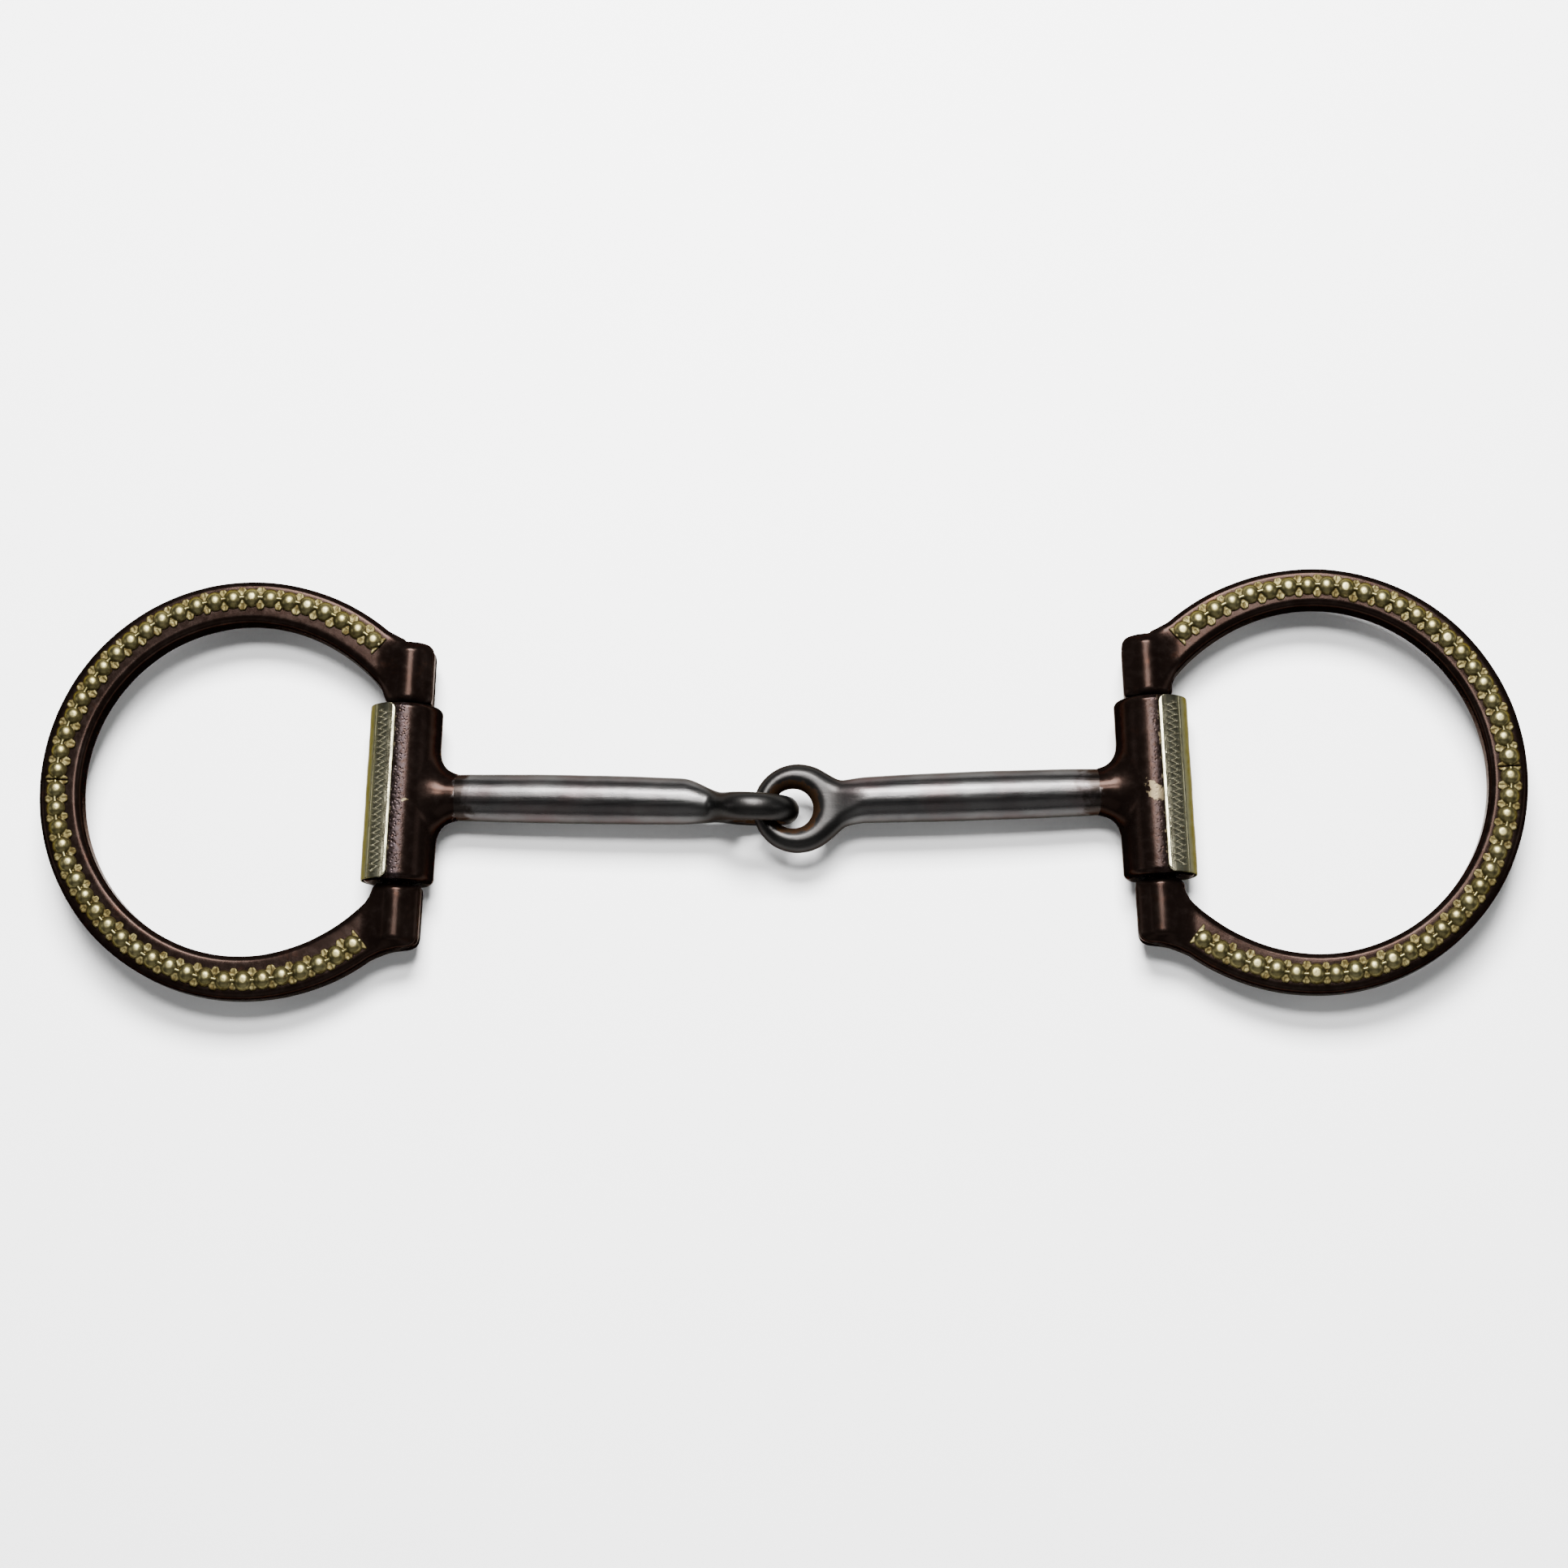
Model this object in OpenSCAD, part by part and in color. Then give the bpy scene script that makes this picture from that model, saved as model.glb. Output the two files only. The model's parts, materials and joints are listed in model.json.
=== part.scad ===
/* [Mouthpiece] */
// Width of the mouth, between the inner faces of the two sleeves
mouth_w = 127; // [114:1:140]
// Largest diameter of a cannon, at its middle
cannon_d = 9.2; // [8:0.1:12]
// Diameter of a cannon next to its sleeve and next to its eye
cannon_end_d = 8.7; // [7:0.1:9]
// Angle by which each sleeve is turned out of square with the whole bit
toe_deg = 2.1; // [0:0.1:4]
// Angle by which each cannon leans further down towards the middle joint
lean_deg = 0.8; // [0:0.1:2]

/* [Eyes] */
// Outer diameter of each eye of the middle joint
eye_d = 16.8; // [15:0.1:19]
// Diameter of the hole through each eye
eye_hole_d = 7.5; // [7:0.1:8.2]
// Thickness of an eye
eye_t = 5.4; // [4.5:0.1:5.8]
// Thickness of the wire at the tip of an eye
eye_tip = 3.7; // [3:0.1:4]
// Play in the joint, from where the halves lie to where they pull tight
joint_play = 1.45; // [1:0.05:1.8]
// Angle by which the upright eye is out of true about its cannon
upright_roll_deg = 5; // [0:1:8]
// Radius of the fillet between an eye and its cannon
eye_fillet = 4; // [2:0.5:6]

/* [Sleeves] */
// Outer diameter of the steel sleeve that a cheek ring turns on
sleeve_d = 13.4; // [11.5:0.1:15]
// Length of the sleeve
sleeve_l = 33.6; // [28:0.2:38]
// Thickness of the silver overlay on the ring side of the sleeve
overlay_t = 0.4; // [0.3:0.05:0.6]
// Angle round the sleeve that the overlay covers
overlay_deg = 164; // [120:2:176]

/* [Hinges] */
// Diameter of the hinge pin
pin_d = 5.6; // [5:0.1:6]
// Radial running clearance of the pin in its sleeve
pin_play = 0.06; // [0.02:0.01:0.1]
// Diameter of a lug of the cheek ring
lug_d = 9; // [7.8:0.1:10]
// Gap between a lug and the end of the sleeve
lug_gap = 0.4; // [0.3:0.1:1]
// Distance of a lug's outer end from the middle of the sleeve
lug_end = 28.3; // [26:0.1:30]

/* [Cheek rings] */
// Outer diameter of the cheek ring
ring_d = 79.6; // [74:0.2:86]
// Width of the flat face of the ring bar
ring_w = 7; // [6:0.1:8]
// Thickness of the ring bar
ring_t = 6.2; // [5:0.1:7]
// How much the bar swells inwards on its way to the lugs
ring_swell = 0.35; // [0:0.1:0.8]
// Distance from the hinge pin to the centre of the ring
ring_set = 29; // [27:0.1:31]

/* [Beaded trim] */
// Number of beads on each of the two strips of a ring
beads = 23; // [16:1:26]
// Diameter of a bead where it meets its strip
bead_d = 3.3; // [2.6:0.1:3.6]
// Height of a bead above the ring's face
bead_h = 1.3; // [0.8:0.1:1.6]
// Angle from the outermost point of the ring to the end of a strip
strip_deg = 130; // [110:1:132]

/* [Hidden] */
$fn = 64;
cut = 1;

brown_steel = "#4a342b";
grey_steel = "#77726e";
nickel_silver = "#a89f7c";

// radii that the diameters above give
sleeve_r = sleeve_d / 2;
overlay_r = sleeve_r + overlay_t;
pin_r = pin_d / 2;
lug_r = lug_d / 2;
ring_r = ring_d / 2;
ring_hole_r = ring_r - ring_w;
ring_mid_r = ring_r - ring_w / 2;
ring_edge = 0.8;
eye_r = eye_d / 2;
eye_hole_r = eye_hole_d / 2;

// a half is drawn with its hinge pin along Y through the origin and its cannon along +X
hinge_x = mouth_w / 2 + sleeve_r;
eye_hole_x = hinge_x - eye_hole_r + joint_play / 2;
eye_x = eye_hole_x + eye_hole_r + eye_tip - eye_r;
neck_x = 10;
spigot_x = 4.2;
spigot_r = 3.4;
neck_inset = 1;
shoulder_l = 11.5;
shoulder_x = eye_x - shoulder_l;
shoulder_end = eye_x - eye_r + 2;
eye_rim = 1.6;
hole_rim = 1.4;
eye_web_inset = 0.2;
eye_web_tail = 4;
cannon_mid_x = (neck_x + shoulder_x) / 2;

// at rest the bit lies on its sleeves, on the upright eye and on the rim of each ring
overlay_gap_deg = 90 - overlay_deg / 2;
sleeve_z = max(sleeve_r, overlay_r * cos(overlay_gap_deg));
rise_deg = asin((eye_r - sleeve_z) / eye_x);
droop_deg = asin((sleeve_z - ring_t / 2) / (ring_set + ring_r));
sleeve_y = -ring_set * sin(toe_deg);

// lugs and the webs that carry them
lug_start = sleeve_l / 2 + lug_gap;
lug_edge = 0.8;
blind_wall = 2;
web_t = ring_t - 0.6;
arc_end_deg = strip_deg + 2;
flare_deg = 120;
flare_r = 28;
swell_reach = 20;
flare_from = [lug_r, lug_end];
flare_to = [-ring_set - ring_r * cos(flare_deg), ring_r * sin(flare_deg)];

// beaded strips
seam_deg = 0.9;
strip_w = 3.6;
strip_t = 0.5;
petal_r = 0.9;
petal_t = 0.35;
petal_lift = 0.02;
bead_step = (strip_deg - seam_deg) / beads;
bead_r = (pow(bead_d / 2, 2) + bead_h * bead_h) / (2 * bead_h);

// centre of the circle of radius r through p and q that lies to the right of p to q
function circle_centre(p, q, r) =
    let (
        half = (q - p) / 2,
        away = sqrt(r * r - half * half) / norm(half)
    )
    p + half + away * [half[1], -half[0]];

// radius of a cannon at distance x from the hinge pin
function cannon_r(x) =
    cannon_d / 2
    - (cannon_d - cannon_end_d) / 2
    * pow((x - cannon_mid_x) / (shoulder_x - cannon_mid_x), 2);

// radius of the shoulder that narrows from the cannon to the thickness of the eye
function shoulder_r(x) =
    let (part = (x - shoulder_x) / (shoulder_end - shoulder_x))
    (cannon_end_d + eye_t) / 4 + (cannon_end_d - eye_t) / 4 * cos(180 * part);

// how far a rounded rim has drawn back at height z, for a rim of that depth
function rim_back(z, depth) = depth * (1 - sqrt(max(0, 1 - pow(2 * z / eye_t, 2))));

// the whole bit is two halves, mirrored
module side(right) {
    if (right) {
        mirror([1, 0, 0]) children();
    } else {
        children();
    }
}

// puts a piece of a half where it lies, turned up or down about its hinge pin
module place(right, tilt_deg) {
    side(right)
        translate([-hinge_x, sleeve_y, sleeve_z])
            rotate([0, 0, -toe_deg])
                rotate([0, -tilt_deg, 0])
                    children();
}

// a cylinder along Y from y0 to y1
module rod_y(r, y0, y1) {
    translate([0, y1, 0]) rotate([90, 0, 0]) cylinder(r = r, h = y1 - y0);
}

// a lug, with its outer end chamfered
module lug() {
    rod_y(lug_r, lug_start, lug_end - lug_edge);
    translate([0, lug_end, 0])
        rotate([90, 0, 0])
            cylinder(r1 = lug_r - lug_edge, r2 = lug_r, h = lug_edge);
}

// the plate that runs from the ring bar to a lug, with a hollow outer edge
module lug_web() {
    linear_extrude(web_t, center = true)
        difference() {
            union() {
                polygon([
                    [lug_r, lug_start], flare_from, flare_to,
                    [flare_to[0], lug_start],
                ]);
                intersection() {
                    translate([-ring_set, 0]) circle(ring_mid_r, $fn = 128);
                    translate([flare_to[0] - swell_reach, lug_start])
                        square([swell_reach + cut, ring_r]);
                }
            }
            translate(circle_centre(flare_from, flare_to, flare_r)) circle(flare_r, $fn = 128);
            translate([-ring_set - ring_swell, 0]) circle(ring_hole_r - ring_swell, $fn = 128);
        }
}

// the round bar of the cheek ring, open on the side of the sleeve
module ring_arc() {
    translate([-ring_set, 0, 0])
        rotate([0, 0, 180 - arc_end_deg])
            rotate_extrude(angle = 2 * arc_end_deg, $fn = 128)
                polygon([
                    [ring_hole_r, -ring_t / 2 + ring_edge],
                    [ring_hole_r + ring_edge, -ring_t / 2],
                    [ring_r - ring_edge, -ring_t / 2],
                    [ring_r, -ring_t / 2 + ring_edge],
                    [ring_r, ring_t / 2 - ring_edge],
                    [ring_r - ring_edge, ring_t / 2],
                    [ring_hole_r + ring_edge, ring_t / 2],
                    [ring_hole_r, ring_t / 2 - ring_edge],
                ]);
}

// cheek ring: the bar, two webs and two lugs, drilled for the hinge pin
module cheek_ring(right) {
    color(brown_steel)
        place(right, droop_deg)
            difference() {
                union() {
                    ring_arc();
                    for (end = [0, 1]) {
                        mirror([0, end, 0]) lug_web();
                        mirror([0, end, 0]) lug();
                    }
                }
                rod_y(pin_r, -lug_end + blind_wall, lug_end + cut);
            }
}

// hinge pin: fast in both lugs and dressed flush with the upper one
module hinge_pin(right) {
    color(brown_steel)
        place(right, droop_deg)
            rod_y(pin_r, -lug_end + blind_wall, lug_end);
}

// sleeve: the barrel that the pin runs in, with a neck that holds the cannon
module sleeve(right) {
    color(brown_steel)
        place(right, rise_deg)
            difference() {
                union() {
                    rod_y(sleeve_r, -sleeve_l / 2, sleeve_l / 2);
                    rotate([0, 0, -lean_deg])
                        translate([sleeve_r / 2, 0, 0])
                            rotate([0, 90, 0])
                                cylinder(
                                    r1 = sleeve_r - neck_inset,
                                    r2 = cannon_r(neck_x),
                                    h = neck_x - sleeve_r / 2
                                );
                }
                rod_y(pin_r + pin_play, -sleeve_l / 2 - cut, sleeve_l / 2 + cut);
                rotate([0, 0, -lean_deg])
                    translate([spigot_x, 0, 0])
                        rotate([0, 90, 0])
                            cylinder(r = spigot_r, h = neck_x);
            }
}

// silver overlay: a thin half wrap on the ring side of the sleeve
module sleeve_overlay(right) {
    color(nickel_silver)
        place(right, rise_deg)
            translate([0, sleeve_l / 2, 0])
                rotate([90, 0, 0])
                    rotate([0, 0, 180 - overlay_deg / 2])
                        rotate_extrude(angle = overlay_deg)
                            translate([sleeve_r, 0]) square([overlay_t, sleeve_l]);
}

// one bead, a low dome that stands in its strip
module bead() {
    foot = strip_t / 2;
    foot_deg = asin((foot + bead_r - bead_h) / bead_r);
    translate([ring_mid_r, 0, ring_t / 2 + bead_h - bead_r])
        rotate_extrude($fn = 24)
            polygon(concat(
                [[0, bead_r * sin(foot_deg)]],
                [for (k = [0:4]) let (a = foot_deg + k * (90 - foot_deg) / 5) bead_r * [cos(a), sin(a)]],
                [[0, bead_r]]
            ));
}

// the two small petals that fill the notches between neighbouring beads
module petals() {
    for (edge = [-1, 1])
        translate([ring_mid_r + edge * strip_w / 2, 0, ring_t / 2 + petal_lift])
            cylinder(r = petal_r, h = petal_t, $fn = 16);
}

// beaded strip: a flat ribbon with a row of domes, on half of the ring's face
module bead_strip(right, lower) {
    color(nickel_silver)
        place(right, droop_deg)
            translate([-ring_set, 0, 0])
                mirror([0, lower ? 1 : 0, 0])
                    rotate([0, 0, 180 - strip_deg]) {
                        rotate_extrude(angle = strip_deg - seam_deg, $fn = 64)
                            translate([ring_mid_r - strip_w / 2, ring_t / 2])
                                square([strip_w, strip_t]);
                        for (i = [0:beads - 1])
                            rotate([0, 0, (i + 0.5) * bead_step]) bead();
                        for (i = [1:beads - 1])
                            rotate([0, 0, i * bead_step]) petals();
                    }
}

// the solid disc of an eye, with a rounded rim
module eye_disc() {
    translate([eye_x, 0, 0])
        rotate_extrude()
            polygon(concat(
                [[0, -eye_t / 2]],
                [for (k = [-4:4]) let (z = k * eye_t / 8) [eye_r - rim_back(z, eye_rim), z]],
                [[0, eye_t / 2]]
            ));
}

// the hole of an eye, wider at its mouths
module eye_hole() {
    mouth_r = eye_hole_r + hole_rim;
    translate([eye_hole_x, 0, 0])
        rotate_extrude()
            polygon(concat(
                [[0, -eye_t / 2 - cut], [mouth_r, -eye_t / 2 - cut]],
                [for (k = [-4:4]) let (z = k * eye_t / 8) [eye_hole_r + rim_back(z, hole_rim), z]],
                [[mouth_r, eye_t / 2 + cut], [0, eye_t / 2 + cut]]
            ));
}

// the flat fillet that spreads the end of the cannon into its eye
module eye_web() {
    fillet_y = cannon_end_d / 2 + eye_fillet;
    fillet_x = sqrt(pow(eye_r + eye_fillet, 2) - fillet_y * fillet_y);
    meet = eye_r / (eye_r + eye_fillet);
    tail_x = -fillet_x - eye_web_tail;
    tail_y = cannon_end_d / 2 - cut;
    translate([eye_x, 0, 0])
        linear_extrude(eye_t - 2 * eye_web_inset, center = true)
            difference() {
                polygon([
                    [tail_x, -tail_y], [-fillet_x, -cannon_end_d / 2],
                    [-fillet_x * meet, -fillet_y * meet], [0, -eye_r / 2],
                    [0, eye_r / 2], [-fillet_x * meet, fillet_y * meet],
                    [-fillet_x, cannon_end_d / 2], [tail_x, tail_y],
                ]);
                for (edge = [-1, 1])
                    translate([-fillet_x, edge * fillet_y]) circle(eye_fillet);
            }
}

// cannon: a spigot for the sleeve, a barrelled bar and the eye of the middle joint
module cannon(right) {
    roll_deg = right ? 0 : 90 + upright_roll_deg;
    bar_l = shoulder_x - neck_x;
    shoulder_run = shoulder_end - shoulder_x;
    color(grey_steel)
        place(right, rise_deg)
            rotate([0, 0, -lean_deg])
                rotate([roll_deg, 0, 0])
                    difference() {
                        union() {
                            rotate([0, 90, 0])
                                rotate_extrude()
                                    polygon(concat(
                                        [[0, spigot_x], [spigot_r, spigot_x], [spigot_r, neck_x]],
                                        [for (k = [0:8]) let (x = neck_x + k * bar_l / 8) [cannon_r(x), x]],
                                        [
                                            for (k = [1:5])
                                                let (x = shoulder_x + k * shoulder_run / 5)
                                                [shoulder_r(x), x]
                                        ],
                                        [[0, shoulder_end]]
                                    ));
                            eye_web();
                            eye_disc();
                        }
                        eye_hole();
                    }
}

module left_ring() { cheek_ring(false); }
module left_hinge_pin() { hinge_pin(false); }
module left_sleeve() { sleeve(false); }
module left_sleeve_overlay() { sleeve_overlay(false); }
module left_upper_bead_strip() { bead_strip(false, false); }
module left_lower_bead_strip() { bead_strip(false, true); }
module left_cannon() { cannon(false); }
module right_ring() { cheek_ring(true); }
module right_hinge_pin() { hinge_pin(true); }
module right_sleeve() { sleeve(true); }
module right_sleeve_overlay() { sleeve_overlay(true); }
module right_upper_bead_strip() { bead_strip(true, false); }
module right_lower_bead_strip() { bead_strip(true, true); }
module right_cannon() { cannon(true); }

left_ring();
left_hinge_pin();
left_sleeve();
left_sleeve_overlay();
left_upper_bead_strip();
left_lower_bead_strip();
left_cannon();
right_ring();
right_hinge_pin();
right_sleeve();
right_sleeve_overlay();
right_upper_bead_strip();
right_lower_bead_strip();
right_cannon();
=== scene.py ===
"""Western dee ring snaffle bit: forged brown cheeks, beaded silver trim, sweet iron mouthpiece."""

import json
from math import asin, atan2, cos, hypot, pi, radians, sin, sqrt

import bpy
import numpy as np
from mathutils import Matrix, Vector


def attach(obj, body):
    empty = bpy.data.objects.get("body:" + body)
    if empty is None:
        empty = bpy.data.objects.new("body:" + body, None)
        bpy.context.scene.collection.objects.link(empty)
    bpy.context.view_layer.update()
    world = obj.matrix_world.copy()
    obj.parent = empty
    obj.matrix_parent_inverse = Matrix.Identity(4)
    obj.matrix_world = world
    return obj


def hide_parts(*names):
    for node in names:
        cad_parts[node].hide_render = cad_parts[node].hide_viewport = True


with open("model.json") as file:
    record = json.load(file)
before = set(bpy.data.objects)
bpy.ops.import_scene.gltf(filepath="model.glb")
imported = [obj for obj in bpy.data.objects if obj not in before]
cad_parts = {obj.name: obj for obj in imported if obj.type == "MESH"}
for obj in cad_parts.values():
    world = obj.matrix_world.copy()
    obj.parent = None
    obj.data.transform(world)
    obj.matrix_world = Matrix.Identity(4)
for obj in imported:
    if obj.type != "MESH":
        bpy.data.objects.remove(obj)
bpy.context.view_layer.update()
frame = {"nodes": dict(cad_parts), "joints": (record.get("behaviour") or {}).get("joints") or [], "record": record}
MM = 0.001


# ---------------------------------------------------------------- camera
def camera():
    """The photographer stood over the bit, a little to the front and right of its middle."""
    tilt, yaw = radians(10.92), radians(2.72)
    distance, target = 0.5376, Vector((0.00132, 0.00091, 0.005))
    back = Vector((sin(yaw) * cos(tilt), -sin(tilt), cos(yaw) * cos(tilt)))
    right = Vector((0, 1, 0)).cross(back).normalized()
    up = back.cross(right)
    data = bpy.data.cameras.new("camera")
    data.sensor_width = 36.0
    data.lens = 65.86
    data.clip_start = 0.01
    made = bpy.data.objects.new("camera", data)
    turn = Matrix((right, up, back)).transposed().to_4x4()
    made.matrix_world = Matrix.Translation(target + back * distance) @ turn
    bpy.context.scene.collection.objects.link(made)
    bpy.context.scene.camera = made


camera()


# ---------------------------------------------------------------- sizes, in millimetres
SLEEVE_R = 6.7
SLEEVE_L = 33.6
SLEEVE_ROUND = 1.2
OVERLAY_T = 0.4
OVERLAY_HALF = radians(82)
OVERLAY_HALF_U = SLEEVE_R * OVERLAY_HALF
OVERLAY_INSET = 0.25
OVERLAY_CORNER = 1.6
OVERLAY_EDGE = 0.12
PANEL_DROP = 0.16
RIDGE_H = 0.15
RIDGE_IN = 0.7
RIDGE_W = 0.42
PAINTED_HIGHLIGHT_IN = 0.75
PAINTED_HIGHLIGHT_W = 0.5

WIGGLE_U = SLEEVE_R * radians(60)
WIGGLE_PITCH = 1.16
WIGGLE_HALF = 0.95
WIGGLE_SQUARE = 0.29
WIGGLE_MARGIN = 1.5
WIGGLE_W = 0.20
WIGGLE_DEPTH = 0.13
LINE_U = (WIGGLE_U + 1.75, WIGGLE_U - 1.9)
LINE_W = 0.16
LINE_DEPTH = 0.09

PIN_R = 2.8
PIN_PLAY = 0.06

LUG_R = 4.5
LUG_START = 17.2
LUG_END = 28.3
LUG_ROUND = 1.3
LUG_BLEND = 4.2
LUG_BLEND_FROM = 1.4
LUG_FACE_ROUND = 0.35
LUG_ZONE_X = -15.0
BLIND_WALL = 2.0

RING_R = 39.8
RING_W = 7.0
RING_T = 6.2
RING_SET = 29.0
RING_ROUND = 1.5
RING_SWELL = {"left": 0.5, "right": 0.6}
RING_THICKER = {"left": 1.1, "right": 0.3}
RING_SQUASH = 1.1
FAR_SCALE = (RING_R - RING_SQUASH) / RING_R
SWELL_FROM = radians(80)
RING_HOLE_R = RING_R - RING_W
RING_MID_R = RING_R - RING_W / 2
WEB_T = 5.6
WEB_BLEND = 2.2
WEB_THINS_FROM = -3.0
WEB_THINS_L = 6.0
FLARE_R = 28.0
FLARE_ANGLE = radians(120)
ARC_END = radians(131)

EYE_R = 8.4
EYE_HOLE_R = 3.75
EYE_T = 5.4
EYE_TIP = 3.7
EYE_HOLE_X = 67.175
EYE_X = EYE_HOLE_X + EYE_HOLE_R + EYE_TIP - EYE_R
UPRIGHT_ROLL = radians(5)
LEAN = radians(0.8)
BOW = 0.3
EYE_RISE = 1.0

CANNON_R = 4.6
CANNON_END_R = 4.35
NECK_X = 10.0
NECK_STEP = 0.06
NECK_SLOPE = 0.05
NECK_SLOPE_L = 4.0
NECK_BLEND = 4.6
FEATHER_L = 2.0
FEATHER_SLOPE = 0.14
FADE_X = 8.5
FADE_L = 4.5
SPIGOT_X = 4.2
SPIGOT_R = 3.4
SPIGOT_END_X = NECK_X + 1.0
SHOULDER_X = EYE_X - 14.0
SHOULDER_L = EYE_X - 5.2 - SHOULDER_X
BAR_END_X = EYE_X - 4.0
WAIST = 0.7
EYE_ROUND = 2.7
EYE_BLEND = 2.6
EYE_HOLE_ROUND = 1.2
EYE_FLARE = 1.8
EYE_FLARE_X = EYE_X - 13.0
EYE_FLARE_L = 8.0

BEADS = 23
STRIP_END = radians(130)
SEAM = radians(0.1)
BEAD_STEP = (STRIP_END - SEAM) / BEADS * RING_MID_R
END_GAP = 0.04
DOME_L, DOME_W, DOME_H = 1.68, 1.72, 1.34
DOME_TOP = 1.33
SEAT_R = 1.84
SHEET_T = 0.3
RIBBON_HALF = 1.25
LINK_R, LINK_T, LINK_Z = 0.34, 0.1, 0.5
LEAF_T = 0.42
LEAF_R, LEAF_AT = 0.86, 1.2
POINT_R, POINT_AT = 0.84, 1.45
LEAF_SQUASH = 0.95
VEIN_W, VEIN_DEPTH, VEIN_FROM = 0.3, 0.10, 1.1
STRIP_SUNK = 0.15

CREASE = 0.2
FAR_INSIDE = -9.0
RING_WAVE, RING_DENT = 26.0, 0.07
SLEEVE_WAVE, CANNON_WAVE, MOUTH_DENT = 17.0, 15.0, 0.05


# ---------------------------------------------------------------- frame of each half
def joint(name):
    return next(j for j in frame["joints"] if j["name"] == name)


def mount(name):
    return next(m for m in frame["record"]["mounts"] if m["name"] == name)


SLEEVE_Z = joint("left_ring_swing")["pos_m"][2] / MM
RISE = asin((EYE_R - SLEEVE_Z) / EYE_X)
BACK = mount("left_ring_back")["axis"]
DROOP = atan2(hypot(BACK[0], BACK[1]), -BACK[2])


def half_frame(side, tilt):
    """Rotation and origin of a half: x towards the middle joint, y along the sleeve, z up."""
    hinge = joint(side + "_ring_swing")
    along = np.array(hinge["axis"], float)
    inward = np.cross(along, [0, 0, 1])
    if side == "right":
        inward = -inward
    up = np.array([0.0, 0.0, 1.0])
    x_axis = inward * cos(tilt) + up * sin(tilt)
    z_axis = up * cos(tilt) - inward * sin(tilt)
    return np.stack([x_axis, along, z_axis]), np.array(hinge["pos_m"], float)


def to_row(points, side, tilt):
    """Points of a half, in millimetres, as points of the row frame, in metres."""
    axes, origin = half_frame(side, tilt)
    return points @ axes * MM + origin


# ---------------------------------------------------------------- distance fields
def smooth_min(a, b, k):
    h = np.clip(0.5 + 0.5 * (b - a) / k, 0, 1)
    return b + (a - b) * h - k * h * (1 - h)


def smooth_max(a, b, k):
    return -smooth_min(-a, -b, k)


def ease(part):
    """Goes smoothly from 0 to 1 as part does."""
    return (1 - np.cos(pi * np.clip(part, 0, 1))) / 2


def rounded(u, v, r):
    """Field of the overlap of two fields that meet square, with its edge rounded to radius r."""
    u, v = u + r, v + r
    return np.hypot(np.maximum(u, 0), np.maximum(v, 0)) + np.minimum(np.maximum(u, v), 0) - r


def hammered(x, y, z, size, depth, seed):
    """The slight unevenness of hand forging. It only ever takes material away."""
    w = 2 * pi / size
    wave = np.sin(w * x + seed) * np.sin(w * 0.83 * y + 2.1 * seed) * np.cos(w * 0.71 * z + 0.7 * seed)
    wave = wave + 0.5 * np.sin(2.3 * w * x + 1.7 * y * w + 3 * seed) * np.cos(1.9 * w * y + seed)
    return depth * (0.6 + wave / 3)


def circle_centre(p, q, r):
    """Centre of the circle of radius r through p and q, to the right of p to q."""
    p, q = np.array(p), np.array(q)
    half = (q - p) / 2
    away = sqrt(r * r - half @ half) / sqrt(half @ half)
    return p + half + away * np.array([half[1], -half[0]])


FLARE_FROM = (LUG_R, LUG_END)
FLARE_TO = (-RING_SET - RING_R * cos(FLARE_ANGLE), RING_R * sin(FLARE_ANGLE))
FLARE_CENTRE = circle_centre(FLARE_FROM, FLARE_TO, FLARE_R)


def ring_field(side, seed):
    """Cheek ring: the open bar, the webs that flare into the lugs, and the drilled lugs."""
    chord = np.array(FLARE_TO) - np.array(FLARE_FROM)
    chord = chord / np.hypot(*chord)

    def field(x, y_signed, z):
        y = np.abs(y_signed)
        from_middle = x + RING_SET
        from_middle = np.where(from_middle < 0, from_middle / FAR_SCALE, from_middle)
        rho = np.hypot(from_middle, y)
        theta = np.arctan2(y, -from_middle)
        swell = RING_SWELL[side] * ease((theta - SWELL_FROM) / (ARC_END - SWELL_FROM))
        inner_r = RING_HOLE_R - RING_THICKER[side] - swell
        bar = rounded(np.maximum(rho - RING_R, inner_r - rho), np.abs(z) - RING_T / 2, RING_ROUND)
        bar = np.maximum(bar, (x + RING_SET) * sin(ARC_END) + y * cos(ARC_END))
        from_pin = np.hypot(x, z)
        middle = (LUG_START + LUG_END) / 2
        lug = rounded(from_pin - LUG_R, np.abs(y - middle) - (LUG_END - LUG_START) / 2, LUG_ROUND)
        flare = FLARE_R - np.hypot(x - FLARE_CENTRE[0], y - FLARE_CENTRE[1])
        beyond = (x - FLARE_FROM[0]) * chord[1] - (y - FLARE_FROM[1]) * chord[0]
        plate = smooth_max(np.maximum(flare, beyond), x - LUG_R, WEB_BLEND)
        plate = np.maximum(plate, FLARE_TO[0] - x)
        plate = np.maximum(plate, np.maximum(inner_r - rho, LUG_START - y))
        web_half = RING_T / 2 - (RING_T - WEB_T) / 2 * ease((x - WEB_THINS_FROM) / WEB_THINS_L)
        web = rounded(plate, np.abs(z) - web_half, RING_ROUND)
        body = np.minimum(bar, web)
        off_face = np.clip((np.abs(z) - LUG_BLEND_FROM) / LUG_BLEND_FROM, 0, 1)
        off_face = off_face * np.clip(1 - (z / LUG_R) ** 2, 0, 1)
        body = smooth_min(body, lug, CREASE + LUG_BLEND * off_face)
        body = body + hammered(x, y_signed, z, RING_WAVE, RING_DENT, seed)
        lug_face = np.where(x > LUG_ZONE_X, LUG_START - y, FAR_INSIDE)
        body = smooth_max(body, lug_face, LUG_FACE_ROUND)
        blind = np.maximum(from_pin - PIN_R, -y_signed - (LUG_END - BLIND_WALL))
        return np.maximum(body, -blind)

    return field


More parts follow.
